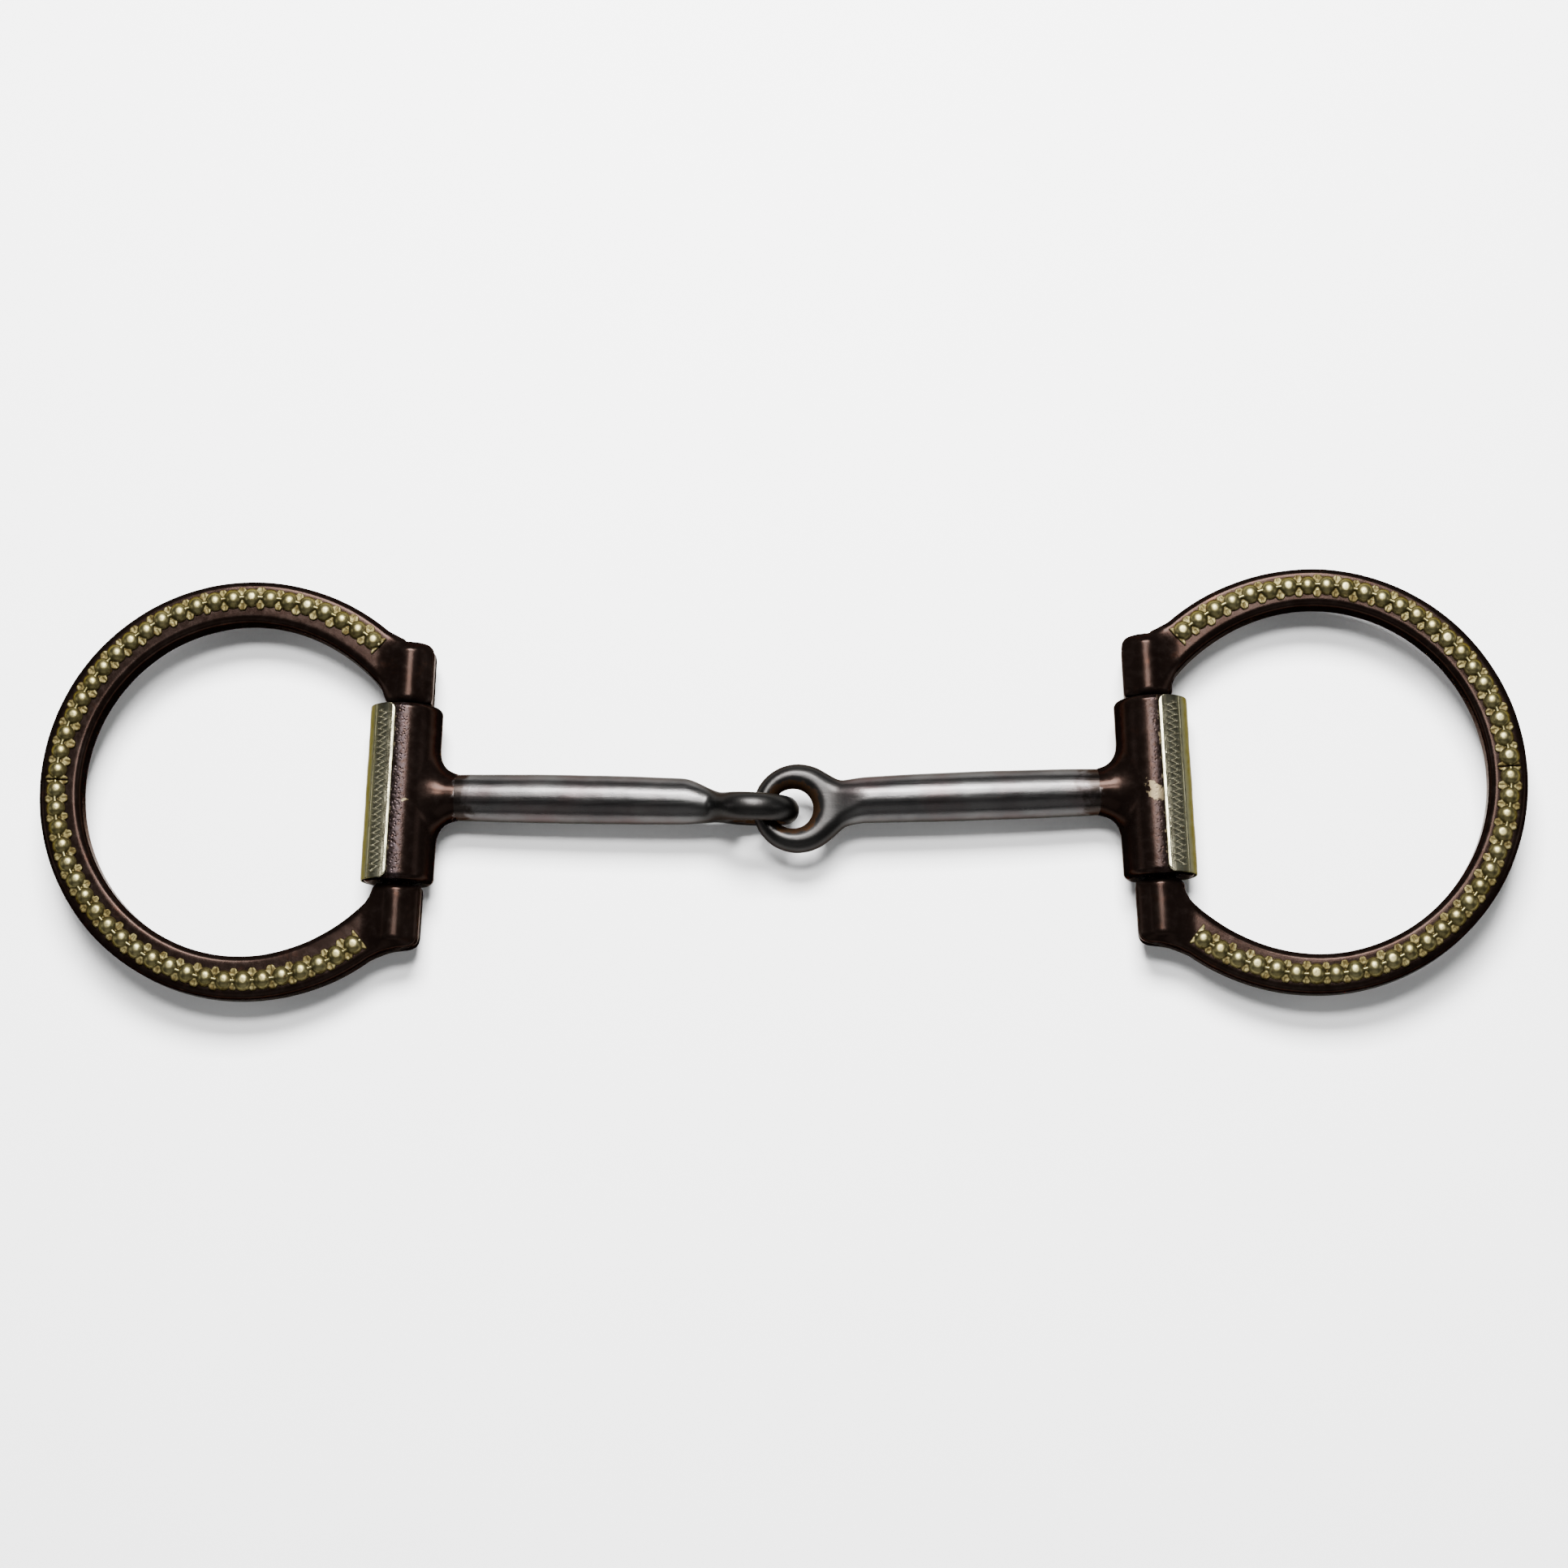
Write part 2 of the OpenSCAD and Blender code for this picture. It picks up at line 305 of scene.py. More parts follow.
def lean(x, y):
    """Sleeve coordinates as coordinates along and across the leaning cannon."""
    return x * cos(LEAN) - y * sin(LEAN), x * sin(LEAN) + y * cos(LEAN)


def sleeve_field(seed):
    """Sleeve: a barrel with rounded ends and a neck that swells into it."""

    def field(x, y, z):
        from_pin = np.hypot(x, z)
        barrel = rounded(from_pin - SLEEVE_R, np.abs(y) - SLEEVE_L / 2, SLEEVE_ROUND)
        along, across = lean(x, y)
        from_axis = np.hypot(across, z)
        before = np.clip(NECK_X - along, 0, NECK_SLOPE_L)
        past = np.maximum(along - NECK_X, 0)
        neck_r = CANNON_END_R + NECK_STEP + NECK_SLOPE * before - FEATHER_SLOPE * past
        neck = np.maximum(from_axis - neck_r, np.maximum(along - NECK_X - FEATHER_L, -along))
        body = smooth_min(barrel, neck, CREASE + NECK_BLEND * np.clip(1 - (z / SLEEVE_R) ** 2, 0, 1))
        body = body + hammered(x, y, z, SLEEVE_WAVE, MOUTH_DENT, seed)
        bore = from_pin - PIN_R - PIN_PLAY
        socket = np.maximum(from_axis - SPIGOT_R - NECK_SLOPE * past, SPIGOT_X - along)
        return np.maximum(body, -np.minimum(bore, socket))

    return field


def bow(along):
    """How far a cannon's axis lies to the +Y side: its bow, and its offset from the eye's middle."""
    t = np.clip((along - NECK_X) / (EYE_X - EYE_R - NECK_X), 0, 1)
    return 4 * BOW * t * (1 - t) + EYE_RISE * t * t


def cannon_field(upright, seed):
    """Cannon: spigot, barrelled bar, shoulders and the eye of the middle joint."""
    roll = pi / 2 + UPRIGHT_ROLL if upright else 0.0
    middle = (NECK_X + SHOULDER_X) / 2
    flare = 0.0 if upright else EYE_FLARE

    def field(x, y, z):
        along, across = lean(x, y)
        flat = across * cos(roll) + z * sin(roll)
        swell = ((along - middle) / (SHOULDER_X - middle)) ** 2
        bar_r = CANNON_R - (CANNON_R - CANNON_END_R) * np.minimum(swell, 1)
        turned = ease((along - SHOULDER_X) / SHOULDER_L)
        half_t = bar_r + (EYE_T / 2 - bar_r) * turned
        edge_r = bar_r + (EYE_ROUND - bar_r) * turned
        bowed = across - bow(along) * (1 - turned if upright else 1)
        bar_flat = bowed * cos(roll) + z * sin(roll)
        tall = z * cos(roll) - bowed * sin(roll)
        waist = bar_r - WAIST * turned
        below = flare * ease((along - EYE_FLARE_X) / EYE_FLARE_L)
        bar = np.maximum(np.maximum(bar_flat - waist, -bar_flat - waist - below), along - BAR_END_X)
        outline = smooth_min(bar, np.hypot(along - EYE_X, flat) - EYE_R, EYE_BLEND * turned + 0.1)
        hole = EYE_HOLE_R - np.hypot(along - EYE_HOLE_X, flat)
        outline = smooth_max(outline, hole, EYE_HOLE_ROUND)
        body = np.maximum(rounded(outline, np.abs(tall) - half_t, edge_r), NECK_X - along)
        inner_end = np.abs(along - (SPIGOT_X + SPIGOT_END_X) / 2) - (SPIGOT_END_X - SPIGOT_X) / 2
        spigot = np.maximum(np.hypot(across, z) - SPIGOT_R, inner_end)
        return np.minimum(body, spigot) + hammered(x, y, z, CANNON_WAVE, MOUTH_DENT, seed)

    return field


def overlay_outline(u, y):
    """Distance outside the overlay's flat outline, a long rectangle with round corners."""
    half_l = SLEEVE_L / 2 - OVERLAY_INSET
    return rounded(np.abs(u) - OVERLAY_HALF_U, np.abs(y) - half_l, OVERLAY_CORNER)


def groove(distance, width, depth):
    """Depth of a V groove at that distance from its line."""
    return depth * np.clip(1 - np.abs(distance) / width, 0, 1)


def engraving(u, y):
    """Depth of the wriggle cut and of its two border lines."""
    side_u = np.abs(u)
    swing = np.abs(((y / WIGGLE_PITCH + 0.5) % 1.0) - 0.5) * 4 - 1
    wiggle = side_u - WIGGLE_U - WIGGLE_HALF * swing
    cuts = groove(wiggle * WIGGLE_SQUARE, WIGGLE_W, WIGGLE_DEPTH)
    cuts = np.where(np.abs(y) < SLEEVE_L / 2 - WIGGLE_MARGIN, cuts, 0)
    for line in LINE_U:
        cuts = np.maximum(cuts, groove(side_u - line, LINE_W, LINE_DEPTH))
    return cuts


def overlay_field(u, y, z):
    """Overlay laid out flat: u round the sleeve from its ring side, y along it, z outwards."""
    waver = 0.02 * np.sin(0.5 * y + 1) + 0.015 * np.sin(1.3 * y + u)
    edge = OVERLAY_HALF_U - np.abs(u)
    ridge = RIDGE_H * np.exp(-((edge - RIDGE_IN) / RIDGE_W) ** 2)
    top = OVERLAY_T - PANEL_DROP + ridge - engraving(u, y) + waver
    return rounded(overlay_outline(u, y), np.maximum(z - top, -OVERLAY_EDGE - z), OVERLAY_EDGE)


def trim_field(seed):
    """A beaded strip laid out straight: s along it, t across it, z up from the ring's face."""
    rng = np.random.default_rng(seed)
    across = rng.normal(0, 0.07, BEADS)
    size = 1 + rng.normal(0, 0.025, BEADS)
    worn = rng.uniform(-0.05, 0.06, BEADS)
    outer = 1 + rng.normal(0, 0.09, BEADS + 1)
    inner = 1 + rng.normal(0, 0.09, BEADS + 1)
    length = BEADS * BEAD_STEP

    def field(s, t, z):
        cell = np.clip(np.floor(s / BEAD_STEP).astype(int), 0, BEADS - 1)
        local = s - (cell + 0.5) * BEAD_STEP
        beside = t - across[cell]
        radius = size[cell]
        dome = np.sqrt((local / DOME_L) ** 2 + (beside / DOME_W) ** 2 + (z / DOME_H) ** 2)
        dome = (dome - radius) * DOME_H
        dome = smooth_max(dome, z - DOME_TOP + worn[cell], 0.08)
        seat = rounded(np.hypot(local, beside) - SEAT_R * radius, z - SHEET_T, 0.15)
        notch = np.clip(np.round(s / BEAD_STEP).astype(int), 0, BEADS)
        gap = s - notch * BEAD_STEP
        leaf = np.hypot(gap, (t - LEAF_AT) * LEAF_SQUASH) - LEAF_R * outer[notch]
        point = np.hypot(gap, (t + POINT_AT) * LEAF_SQUASH) - POINT_R * inner[notch]
        leaves = rounded(np.minimum(leaf, point), z - LEAF_T, 0.18)
        vein = np.clip(1 - np.abs(gap) / VEIN_W, 0, 1) * (np.abs(t) > VEIN_FROM)
        leaves = leaves + VEIN_DEPTH * vein
        link = np.hypot(t - LINK_T, z - LINK_Z) - LINK_R
        ribbon = rounded(np.abs(t) - RIBBON_HALF, z - SHEET_T, 0.1)
        strip = smooth_min(np.minimum(dome, link), np.minimum(seat, ribbon), 0.16)
        strip = smooth_min(strip, leaves, 0.10)
        strip = np.maximum(strip, -STRIP_SUNK - z)
        return smooth_max(strip, np.abs(s - length / 2) - length / 2 + END_GAP, 0.1)

    return field


# ---------------------------------------------------------------- surfaces from fields
def surface_net(field, low, high, step):
    """Closed quad surface where the field is zero, as vertices and faces."""
    axes = [np.arange(a, b + step, step) for a, b in zip(low, high)]
    shape = tuple(len(a) for a in axes)
    value = np.empty(shape, np.float32)
    slab = 24
    for i in range(0, shape[0], slab):
        rows = axes[0][i:i + slab, None, None]
        value[i:i + slab] = field(rows, axes[1][None, :, None], axes[2][None, None, :])
    inside = value < 0
    cells = tuple(n - 1 for n in shape)
    total = np.zeros((int(np.prod(cells)), 3))
    count = np.zeros(int(np.prod(cells)))
    loops = []
    for axis in range(3):
        after = [slice(None)] * 3
        after[axis] = slice(1, None)
        before = [slice(None)] * 3
        before[axis] = slice(None, -1)
        a, b = inside[tuple(before)], inside[tuple(after)]
        index = np.argwhere(a != b)
        va = value[tuple(before)][tuple(index.T)]
        vb = value[tuple(after)][tuple(index.T)]
        point = index.astype(float)
        point[:, axis] += va / (va - vb)
        first, second = [k for k in range(3) if k != axis]
        corner_ids = []
        for da, db in ((1, 1), (0, 1), (0, 0), (1, 0)):
            cell = index.copy()
            cell[:, first] -= da
            cell[:, second] -= db
            flat = np.ravel_multi_index(tuple(cell.T), cells)
            corner_ids.append(flat)
            count += np.bincount(flat, minlength=len(count))
            for k in range(3):
                total[:, k] += np.bincount(flat, weights=point[:, k], minlength=len(count))
        quad = np.stack(corner_ids, 1)
        flip = a[tuple(index.T)] == (axis == 1)
        quad[flip] = quad[flip][:, ::-1]
        loops.append(quad)
    used = count > 0
    number = np.cumsum(used) - 1
    points = total[used] / count[used, None] * step + np.array([a[0] for a in axes])
    return settle(field, points, step), number[np.concatenate(loops)]


def settle(field, points, step):
    """Moves points onto the surface by a few short Newton steps."""
    for _ in range(3):
        value = field(*points.T)
        slope = gradient(field, points, step * 0.2)
        size = np.maximum((slope ** 2).sum(1), 0.2)
        move = np.clip(value / size, -0.4 * step, 0.4 * step)
        points = points - slope * move[:, None]
    return points


def gradient(field, points, eps):
    out = np.empty_like(points)
    for k in range(3):
        shift = np.zeros(3)
        shift[k] = eps
        out[:, k] = (field(*(points + shift).T) - field(*(points - shift).T)) / (2 * eps)
    return out


def edge_wear(field, points, reach):
    """From -1 in a hollow to 1 on an outer edge, felt over that reach."""
    total = -6 * field(*points.T)
    for k in range(3):
        shift = np.zeros(3)
        shift[k] = reach
        total = total + field(*(points + shift).T) + field(*(points - shift).T)
    return np.clip(total / reach, -1, 1)


def make_piece(name, points, faces, body, nodes, material, mirrored, marks):
    """A finished mesh object that rides on a body in place of its CAD nodes."""
    if mirrored:
        faces = faces[:, ::-1]
    mesh = bpy.data.meshes.new(name)
    mesh.vertices.add(len(points))
    mesh.vertices.foreach_set("co", points.astype(np.float32).ravel())
    mesh.loops.add(faces.size)
    mesh.loops.foreach_set("vertex_index", faces.astype(np.int32).ravel())
    mesh.polygons.add(len(faces))
    mesh.polygons.foreach_set("loop_start", np.arange(0, faces.size, 4, dtype=np.int32))
    mesh.polygons.foreach_set("use_smooth", np.ones(len(faces), bool))
    for key, values in marks.items():
        mesh.attributes.new(key, "FLOAT", "POINT").data.foreach_set("value", values.astype(np.float32))
    mesh.update(calc_edges=True)
    mesh.validate()
    mesh.materials.append(material)
    piece = bpy.data.objects.new(name, mesh)
    bpy.context.scene.collection.objects.link(piece)
    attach(piece, body)
    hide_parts(*nodes)


# ---------------------------------------------------------------- materials
class Nodes:
    """Short ways to add and join shader nodes in one material."""

    def __init__(self, name):
        self.material = bpy.data.materials.new(name)
        self.material.use_nodes = True
        self.tree = self.material.node_tree
        self.shader = self.tree.nodes["Principled BSDF"]
        self.place = self.add("ShaderNodeTexCoord").outputs["Object"]

    def add(self, kind, **values):
        node = self.tree.nodes.new(kind)
        for key, value in values.items():
            setattr(node, key, value)
        return node

    def feed(self, socket, value):
        if isinstance(value, bpy.types.NodeSocket):
            self.tree.links.new(value, socket)
        else:
            socket.default_value = value

    def noise(self, size, detail=4.0, roughness=0.55, stretch=(1, 1, 1), shift=0.0):
        """Noise with features about that many millimetres across."""
        mapping = self.add("ShaderNodeMapping")
        mapping.inputs["Scale"].default_value = [k / (size * MM) for k in stretch]
        mapping.inputs["Location"].default_value = (shift, shift, shift)
        self.feed(mapping.inputs["Vector"], self.place)
        node = self.add("ShaderNodeTexNoise")
        node.inputs["Scale"].default_value = 1.0
        node.inputs["Detail"].default_value = detail
        node.inputs["Roughness"].default_value = roughness
        self.feed(node.inputs["Vector"], mapping.outputs["Vector"])
        return node.outputs["Fac"]

    def pits(self, size):
        """Distance to the nearest of many scattered points, about that far apart."""
        mapping = self.add("ShaderNodeMapping")
        mapping.inputs["Scale"].default_value = [1 / (size * MM)] * 3
        self.feed(mapping.inputs["Vector"], self.place)
        node = self.add("ShaderNodeTexVoronoi")
        node.inputs["Scale"].default_value = 1.0
        self.feed(node.inputs["Vector"], mapping.outputs["Vector"])
        return node.outputs["Distance"]

    def mark(self, name):
        return self.add("ShaderNodeAttribute", attribute_name=name).outputs["Fac"]

    def span(self, value, low, high, out_low=0.0, out_high=1.0):
        node = self.add("ShaderNodeMapRange")
        node.inputs["From Min"].default_value = low
        node.inputs["From Max"].default_value = high
        node.inputs["To Min"].default_value = out_low
        node.inputs["To Max"].default_value = out_high
        self.feed(node.inputs["Value"], value)
        return node.outputs["Result"]

    def math(self, operation, a, b=0.0):
        node = self.add("ShaderNodeMath", operation=operation)
        self.feed(node.inputs[0], a)
        self.feed(node.inputs[1], b)
        return node.outputs[0]

    def mix(self, amount, a, b):
        node = self.add("ShaderNodeMix", data_type="RGBA")
        self.feed(node.inputs["Factor"], amount)
        self.feed(node.inputs["A"], (*a, 1) if isinstance(a, tuple) else a)
        self.feed(node.inputs["B"], (*b, 1) if isinstance(b, tuple) else b)
        return node.outputs["Result"]

    def blend(self, amount, a, b):
        node = self.add("ShaderNodeMix", data_type="FLOAT")
        self.feed(node.inputs["Factor"], amount)
        self.feed(node.inputs["A"], a)
        self.feed(node.inputs["B"], b)
        return node.outputs["Result"]

    def tint(self, color, other, amount, most):
        """Color turned towards another by an amount, at most that share of the way."""
        return self.mix(self.math("MULTIPLY", amount, most), color, other)

    def ragged(self, mark, noise, spread, low, high):
        """A mark with its edge made uneven by a noise."""
        uneven = self.math("ADD", mark, self.span(noise, 0.3, 0.7, -spread, spread))
        return self.span(uneven, low, high)

    def bump(self, height, depth, before=None):
        """Bump of that many millimetres from a height of 0 to 1."""
        node = self.add("ShaderNodeBump")
        node.inputs["Distance"].default_value = depth * MM
        self.feed(node.inputs["Height"], height)
        if before is not None:
            self.feed(node.inputs["Normal"], before)
        return node.outputs["Normal"]

    def finish(self, color, roughness, normal, metallic=1.0):
        self.feed(self.shader.inputs["Base Color"], color)
        self.feed(self.shader.inputs["Roughness"], roughness)
        self.feed(self.shader.inputs["Normal"], normal)
        self.feed(self.shader.inputs["Metallic"], metallic)
        return self.material


def browned_steel(name):
    """Dark antiqued steel: reddish brown, a little rubbed on edges, pitted where it was soldered."""
    n = Nodes(name)
    wear, bare, pitted, smear = (n.mark(k) for k in ("wear", "bare", "pitted", "smear"))
    broad, fine, grit = n.noise(9, 5), n.noise(1.6, 6, 0.65), n.noise(0.35, 3, 0.7)
    color = n.mix(n.span(broad, 0.35, 0.65), (0.0064, 0.0038, 0.0030), (0.0086, 0.0054, 0.0044))
    color = n.mix(n.span(fine, 0.48, 0.72), color, (0.0106, 0.0071, 0.0059))
    rust = n.math("MULTIPLY", n.span(n.noise(4, 6, 0.6, shift=3.0), 0.60, 0.72), 0.6)
    color = n.mix(rust, color, (0.0170, 0.0075, 0.0048))
    rubbed = n.math("MULTIPLY", n.span(wear, 0.30, 0.80), n.span(fine, 0.42, 0.66))
    color = n.tint(color, (0.036, 0.028, 0.024), rubbed, 0.2)
    hollow = n.span(wear, -0.2, -0.7)
    color = n.tint(color, (0.006, 0.004, 0.003), hollow, 0.7)
    scarred = n.math("MULTIPLY", pitted, n.span(n.noise(0.8, 5, 0.7), 0.38, 0.66))
    color = n.mix(scarred, color, (0.024, 0.0185, 0.0195))
    worn_bare = n.ragged(bare, fine, 0.35, 0.35, 0.75)
    color = n.mix(worn_bare, color, (0.066, 0.060, 0.058))
    solder = n.ragged(smear, n.noise(1.3, 5, 0.6), 0.45, 0.45, 0.62)
    color = n.mix(solder, color, (0.055, 0.043, 0.025))
    metallic = n.blend(n.math("MAXIMUM", worn_bare, solder), 0.82, 1.0)
    roughness = n.span(fine, 0.3, 0.7, 0.19, 0.28)
    roughness = n.blend(scarred, roughness, 0.42)
    roughness = n.blend(solder, roughness, 0.38)
    pit = n.span(n.pits(0.55), 0.05, 0.45)
    normal = n.bump(grit, 0.006)
    normal = n.bump(fine, 0.015, normal)
    normal = n.bump(n.blend(pitted, 1.0, pit), 0.07, normal)
    n.shader.inputs["Specular IOR Level"].default_value = 0.0
    n.shader.inputs["Specular Tint"].default_value = (0.25, 0.20, 0.17, 1)
    return n.finish(color, roughness, normal, metallic)


def nickel_silver(name):
    """Dull yellowish silver, with a painted highlight along the overlay's ridge and on the bead tops, lighter
    engraved cuts, and painted shade in olive and brown on the low parts and the overlay's border.
    """
    n = Nodes(name)
    high, painted_sheen_and_cuts, aged = n.mark("high"), n.mark("painted_sheen_and_cuts"), n.mark("aged")
    broad, fine, grit = n.noise(6, 5), n.noise(1.1, 6, 0.65), n.noise(0.25, 3, 0.7)
    color = n.mix(n.span(broad, 0.38, 0.62), (0.090, 0.077, 0.030), (0.112, 0.100, 0.046))
    color = n.tint(color, (0.092, 0.068, 0.025), n.span(fine, 0.50, 0.75), 0.6)
    dulled = n.mix(n.span(fine, 0.35, 0.65), (0.054, 0.054, 0.038), (0.070, 0.070, 0.050))
    color = n.mix(aged, color, dulled)
    # painted highlight: colour turned towards pale yellow silver along the overlay's ridge and a little on the
    # bead tops; the engraved cuts are lighter too
    color = n.tint(color, (0.52, 0.48, 0.32), painted_sheen_and_cuts, 0.8)
    # painted shade: darker olive brown on the low parts of the beaded strip and along the overlay's border, where
    # the height mark is small
    painted_low_shade = n.ragged(high, fine, 0.22, 0.50, 0.10)
    color = n.mix(painted_low_shade, color, (0.030, 0.022, 0.008))
    off_sheen = n.span(painted_sheen_and_cuts, 0.6, 0.1)
    speck = n.math("MULTIPLY", n.span(n.noise(0.9, 5, 0.6, shift=7.0), 0.62, 0.70), off_sheen)
    color = n.tint(color, (0.07, 0.04, 0.015), speck, 0.7)
    roughness = n.span(fine, 0.3, 0.7, 0.29, 0.40)
    roughness = n.blend(painted_low_shade, roughness, 0.62)
    roughness = n.blend(painted_sheen_and_cuts, roughness, 0.16)
    normal = n.bump(grit, 0.010)
    normal = n.bump(fine, 0.030, normal)
    n.shader.inputs["Specular Tint"].default_value = (0.42, 0.39, 0.30, 1)
    return n.finish(color, roughness, normal)


def sweet_iron(name):
    """Bare grey steel: brushed along the bar, with violet and brown patina and rust in the eye."""
    n = Nodes(name)
    wear, rusty, stained, forged = (n.mark(k) for k in ("wear", "rusty", "stained", "forged"))
    broad, fine, grit = n.noise(8, 5), n.noise(1.8, 6, 0.6), n.noise(0.3, 3, 0.7)
    brush = n.noise(1.0, 4, 0.6, stretch=(0.06, 2.2, 2.2))
    color = n.mix(n.span(broad, 0.36, 0.64), (0.036, 0.0345, 0.0345), (0.053, 0.052, 0.051))
    violet = n.span(n.noise(11, 3, 0.5, shift=5.0), 0.45, 0.68)
    color = n.tint(color, (0.044, 0.031, 0.031), violet, 0.7)
    color = n.mix(n.span(brush, 0.52, 0.80, 0.0, 0.5), color, (0.042, 0.037, 0.036))
    speck = n.span(n.noise(0.9, 5, 0.65, shift=2.0), 0.66, 0.72)
    color = n.tint(color, (0.06, 0.038, 0.028), speck, 0.7)
    rub = n.math("MULTIPLY", n.span(wear, 0.2, 0.7), n.span(fine, 0.4, 0.6))
    color = n.tint(color, (0.20, 0.19, 0.18), rub, 0.4)
    color = n.tint(color, (0.012, 0.0115, 0.0110), forged, 0.85)
    rust = n.ragged(rusty, fine, 0.35, 0.35, 0.70)
    color = n.mix(rust, color, n.mix(n.span(grit, 0.4, 0.6), (0.030, 0.014, 0.006), (0.018, 0.012, 0.008)))
    stain = n.ragged(stained, fine, 0.35, 0.30, 0.70)
    color = n.mix(stain, color, (0.018, 0.0145, 0.0130))
    roughness = n.span(brush, 0.3, 0.7, 0.25, 0.35)
    roughness = n.blend(forged, roughness, 0.38)
    roughness = n.blend(rust, roughness, 0.68)
    normal = n.bump(grit, 0.010)
    normal = n.bump(brush, 0.010, normal)
    normal = n.bump(fine, 0.028, normal)
    n.shader.inputs["Specular Tint"].default_value = (0.42, 0.41, 0.40, 1)
    return n.finish(color, roughness, normal)


BROWN = browned_steel("browned_steel")
SILVER = nickel_silver("nickel_silver")
IRON = sweet_iron("sweet_iron")


# ---------------------------------------------------------------- pieces
def falloff(distance, reach):
    return np.clip(1 - np.abs(distance) / reach, 0, 1)


def build_ring(side, step, seed):
    low = (-RING_SET - RING_R - 1, -RING_R - 1, -LUG_R - 1)
    high = (LUG_R + 1, RING_R + 1, LUG_R + 1)
    field = ring_field(side, seed)
    points, faces = surface_net(field, low, high, step)
    wear = edge_wear(field, points, 0.5)
    none = np.zeros(len(points))
    marks = {"wear": wear, "bare": none, "pitted": none, "smear": none}
    make_piece(side + "_cheek_ring", to_row(points, side, -DROOP), faces, side + "_cheek",
               [side + "_ring"], BROWN, side == "right", marks)


def build_sleeve(side, step, seed):
    low = (-SLEEVE_R - 1, -SLEEVE_L / 2 - 1, -SLEEVE_R - 1)
    high = (NECK_X + 3, SLEEVE_L / 2 + 1, SLEEVE_R + 1)
    field = sleeve_field(seed)
    points, faces = surface_net(field, low, high, step)
    x, y, z = points.T
    along, _ = lean(x, y)
    turn = np.arctan2(x, z)
    beside = SLEEVE_R * (turn + pi / 2 - OVERLAY_HALF)
    top = z > 0
    seam = falloff(beside - 0.1, 0.32) * top
    if side == "right":
        leaf_l, leaf_w = (x - 0.3) * 0.5 + (y + 1.6) * 0.85, (x - 0.3) * 0.85 - (y + 1.6) * 0.5
        smear = np.clip(1.3 - np.hypot(leaf_l / 2.9, leaf_w / 1.7), 0, 1) * top
        band = 0.4 * falloff(beside - 1.0, 1.3) * top
    else:
        smear = 0.75 * falloff(y + 2.0 - 0.1 * x, 0.5) * falloff(x - 1.8, 1.6) * top
        band = falloff(beside - 1.2, 1.6) * top
    smear = np.maximum(smear, 0.42 * seam)
    bare = ease((along - FADE_X) / FADE_L)
    marks = {"wear": edge_wear(field, points, 0.5), "bare": bare, "pitted": band, "smear": smear}
    make_piece(side + "_sleeve_barrel", to_row(points, side, RISE), faces, side + "_mouth",
               [side + "_sleeve"], BROWN, side == "right", marks)


def build_cannon(side, step, seed):
    low = (SPIGOT_X - 1, -EYE_R - 2.5, -EYE_R - 1)
    high = (EYE_X + EYE_R + 1, EYE_R + 1.5, EYE_R + 1)
    field = cannon_field(side == "left", seed)
    points, faces = surface_net(field, low, high, step)
    x, y, z = points.T
    along, across = lean(x, y)
    if side == "left":
        from_hole = np.hypot(along - EYE_HOLE_X, z)
    else:
        from_hole = np.hypot(along - EYE_HOLE_X, across)
    rusty = np.clip((EYE_HOLE_R + 2.0 - from_hole) / 1.2, 0, 1)
    stained = 1 - ease((along - FADE_X) / (2 * FADE_L))
    forged = 1 - ease((from_hole - EYE_R) / 5)
    marks = {"wear": edge_wear(field, points, 0.6), "rusty": rusty, "stained": stained, "forged": forged}
    make_piece(side + "_cannon_bar", to_row(points, side, RISE), faces, side + "_mouth",
               [side + "_cannon"], IRON, side == "right", marks)


def build_overlay(side, step):
    low = (-OVERLAY_HALF_U - 0.5, -SLEEVE_L / 2 - 0.5, -0.5)
    high = (OVERLAY_HALF_U + 0.5, SLEEVE_L / 2 + 0.5, OVERLAY_T + 0.5)
    points, faces = surface_net(overlay_field, low, high, step)
    u, y, z = points.T
    edge = OVERLAY_HALF_U - np.abs(u)
    # painted highlight: a lighter band along the ridge near each long edge of the overlay; the engraved cuts are
    # made lighter as well
    painted_highlight = np.exp(-((edge - PAINTED_HIGHLIGHT_IN) / PAINTED_HIGHLIGHT_W) ** 2)
    painted_sheen_and_cuts = np.maximum(painted_highlight, 0.9 * engraving(u, y) / WIGGLE_DEPTH)
    end = SLEEVE_L / 2 - np.abs(y)
    # the height mark falls near the overlay's border, where the material paints shade
    high_mark = np.clip(0.15 + np.minimum(edge, end) / 0.5, 0, 1)
    turn = u / SLEEVE_R
    radius = SLEEVE_R + z
    bent = np.stack([-radius * np.cos(turn), y, radius * np.sin(turn)], 1)
    marks = {"high": high_mark, "painted_sheen_and_cuts": painted_sheen_and_cuts, "aged": np.ones(len(points))}
    make_piece(side + "_engraved_overlay", to_row(bent, side, RISE), faces, side + "_mouth",
               [side + "_sleeve_overlay"], SILVER, side == "right", marks)


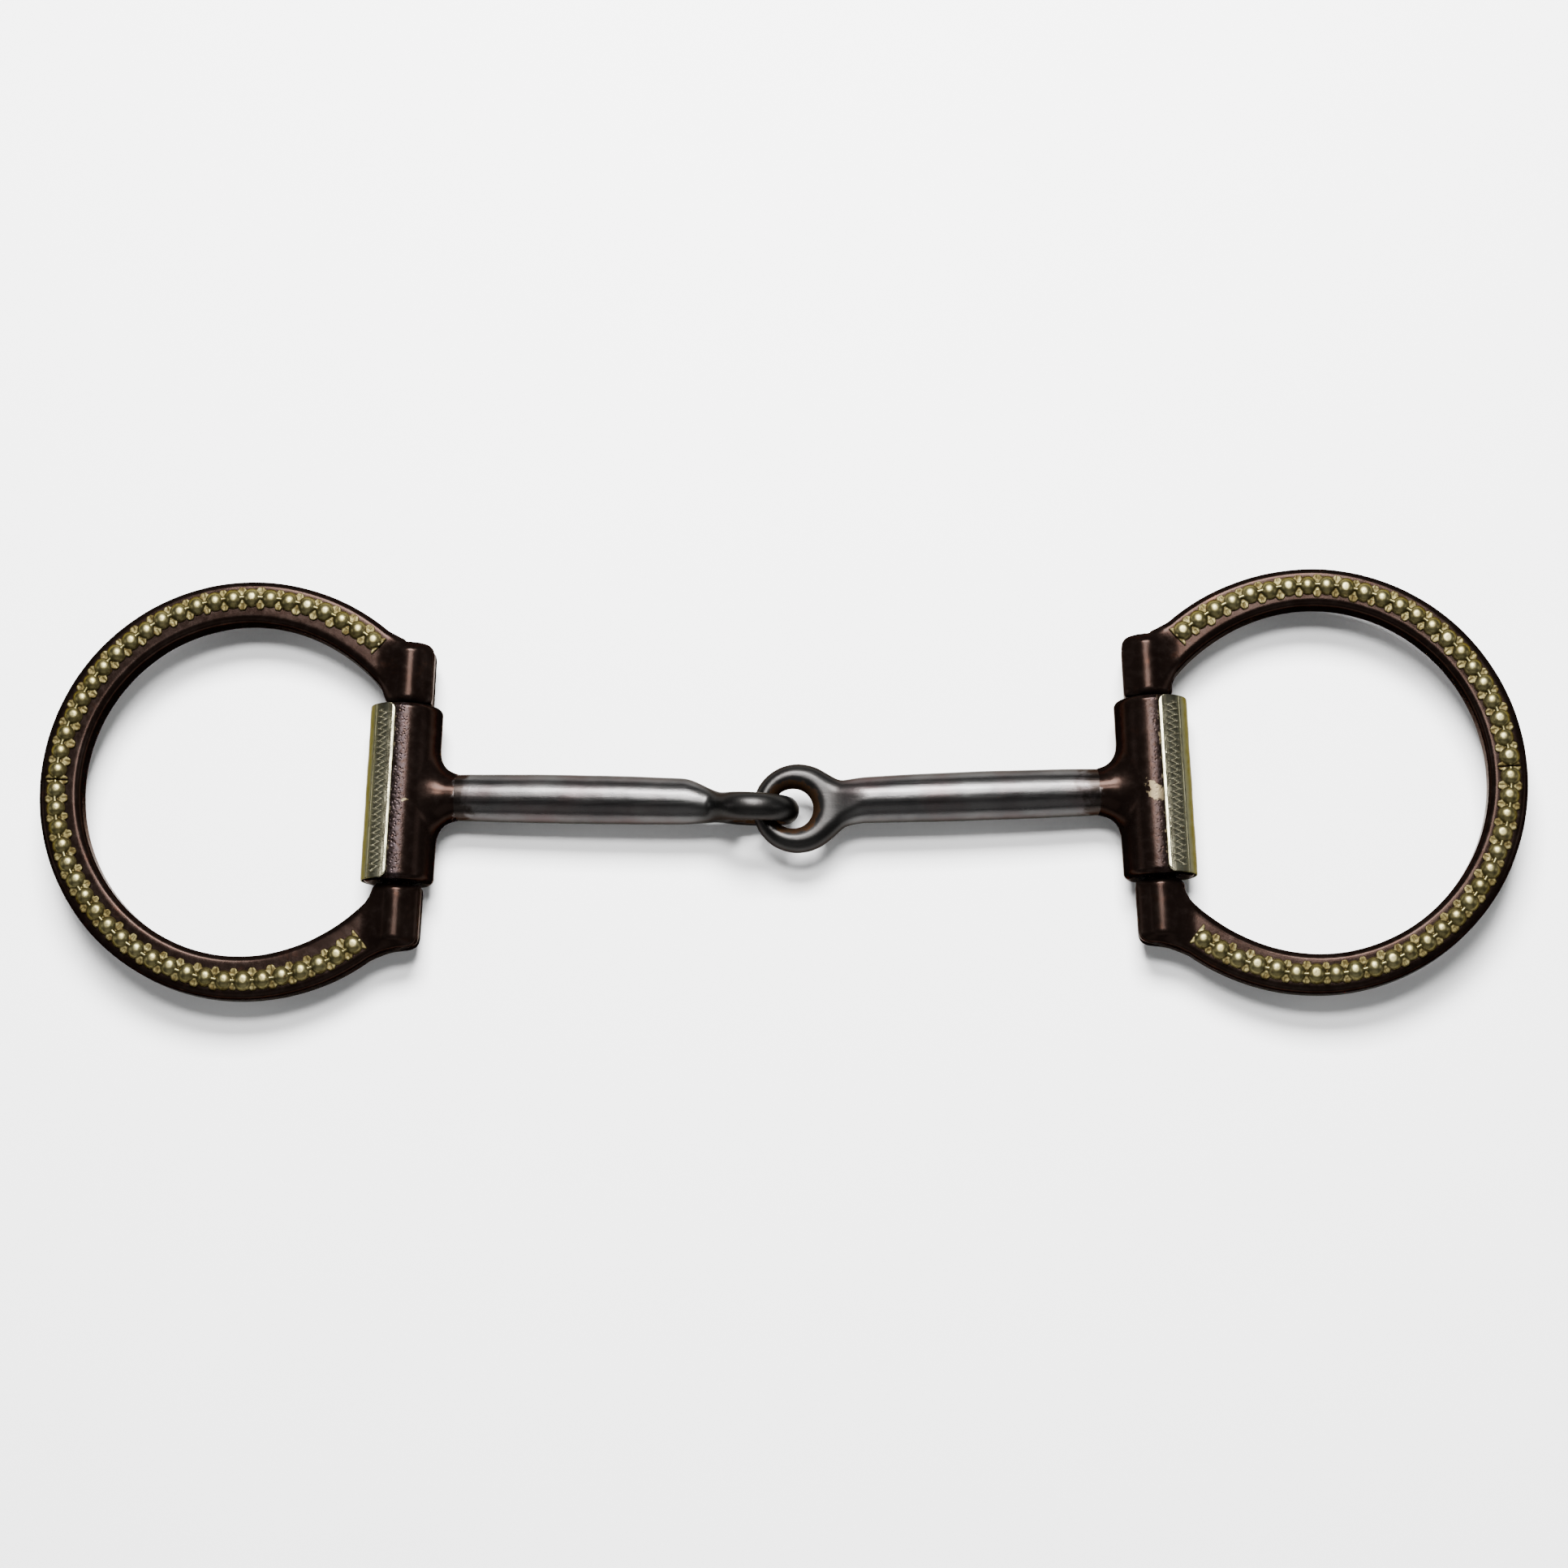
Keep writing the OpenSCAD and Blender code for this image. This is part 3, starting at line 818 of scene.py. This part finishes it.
def build_trim(side, lower, step, seed):
    low = (-0.5, -3.1, -0.5)
    high = (BEADS * BEAD_STEP + 0.5, 3.1, 1.8)
    points, faces = surface_net(trim_field(seed), low, high, step)
    s, t, z = points.T
    theta = SEAM + s / RING_MID_R
    rho = RING_MID_R + t
    flip = -1 if lower else 1
    outward = rho * np.cos(theta)
    outward = np.where(outward > 0, outward * FAR_SCALE, outward)
    bent = np.stack([-RING_SET - outward, flip * rho * np.sin(theta), RING_T / 2 - 0.03 + z], 1)
    # a slight painted highlight on the bead tops
    dome = np.clip((z - 0.75) / 0.5, 0, 1)
    # the height mark is the height above the ring face; the material paints shade on the low parts of the strip
    marks = {"high": np.clip(z / 1.9, 0, 1), "painted_sheen_and_cuts": 0.03 * dome, "aged": np.zeros(len(points))}
    part = "lower" if lower else "upper"
    make_piece(f"{side}_{part}_beaded_trim", to_row(bent, side, -DROOP), faces, side + "_cheek",
               [f"{side}_{part}_bead_strip"], SILVER, (side == "right") != lower, marks)


COARSE = 1.0
RING_STEP = 0.34 * COARSE
MOUTH_STEP = 0.26 * COARSE
OVERLAY_STEP = 0.13 * COARSE
TRIM_STEP = 0.15 * COARSE

for number, side in enumerate(("left", "right")):
    build_ring(side, RING_STEP, 1.0 + 2.3 * number)
    build_sleeve(side, MOUTH_STEP, 2.0 + 1.7 * number)
    build_cannon(side, MOUTH_STEP, 3.0 + 1.3 * number)
    build_overlay(side, OVERLAY_STEP)
    for lower in (False, True):
        build_trim(side, lower, TRIM_STEP, 11 + 2 * number + lower)
    pin = frame["nodes"][side + "_hinge_pin"]
    for slot in pin.material_slots:
        slot.material = BROWN


# ---------------------------------------------------------------- floor and light
def pale_floor():
    n = Nodes("pale_floor")
    tone = n.noise(40, 3)
    color = n.mix(tone, (0.86, 0.86, 0.86), (0.90, 0.90, 0.90))
    material = n.finish(color, n.span(tone, 0.3, 0.7, 0.55, 0.65), n.bump(n.noise(0.6, 3), 0.01), 0.0)
    mesh = bpy.data.meshes.new("floor")
    half = 3.0
    corners = [(-half, -half, 0), (half, -half, 0), (half, half, 0), (-half, half, 0)]
    mesh.from_pydata(corners, [], [(0, 1, 2, 3)])
    mesh.materials.append(material)
    floor = bpy.data.objects.new("floor", mesh)
    bpy.context.scene.collection.objects.link(floor)


def softbox(name, place, width, height, power):
    """A rectangular lamp that points at the middle of the object."""
    light = bpy.data.lights.new(name, "AREA")
    light.shape = "RECTANGLE"
    light.size = width
    light.size_y = height
    light.energy = power
    lamp = bpy.data.objects.new(name, light)
    lamp.location = place
    lamp.rotation_euler = (-Vector(place)).to_track_quat("-Z", "Y").to_euler()
    bpy.context.scene.collection.objects.link(lamp)


def studio():
    world = bpy.data.worlds.new("studio")
    world.use_nodes = True
    world.node_tree.nodes["Background"].inputs["Color"].default_value = (0.95, 0.97, 1.0, 1)
    world.node_tree.nodes["Background"].inputs["Strength"].default_value = 0.12
    bpy.context.scene.world = world
    softbox("overhead", (0.0, 0.42, 0.68), 0.36, 0.25, 36.0)
    softbox("key", (0.0, 0.15, 0.75), 0.22, 0.10, 6.5)
    softbox("front_fill", (0.0, -0.70, 0.45), 1.0, 0.5, 1.6)
    softbox("left_fill", (-0.9, 0.0, 0.5), 0.3, 0.3, 1.2)
    softbox("right_fill", (0.9, 0.0, 0.5), 0.3, 0.3, 1.2)


pale_floor()
studio()
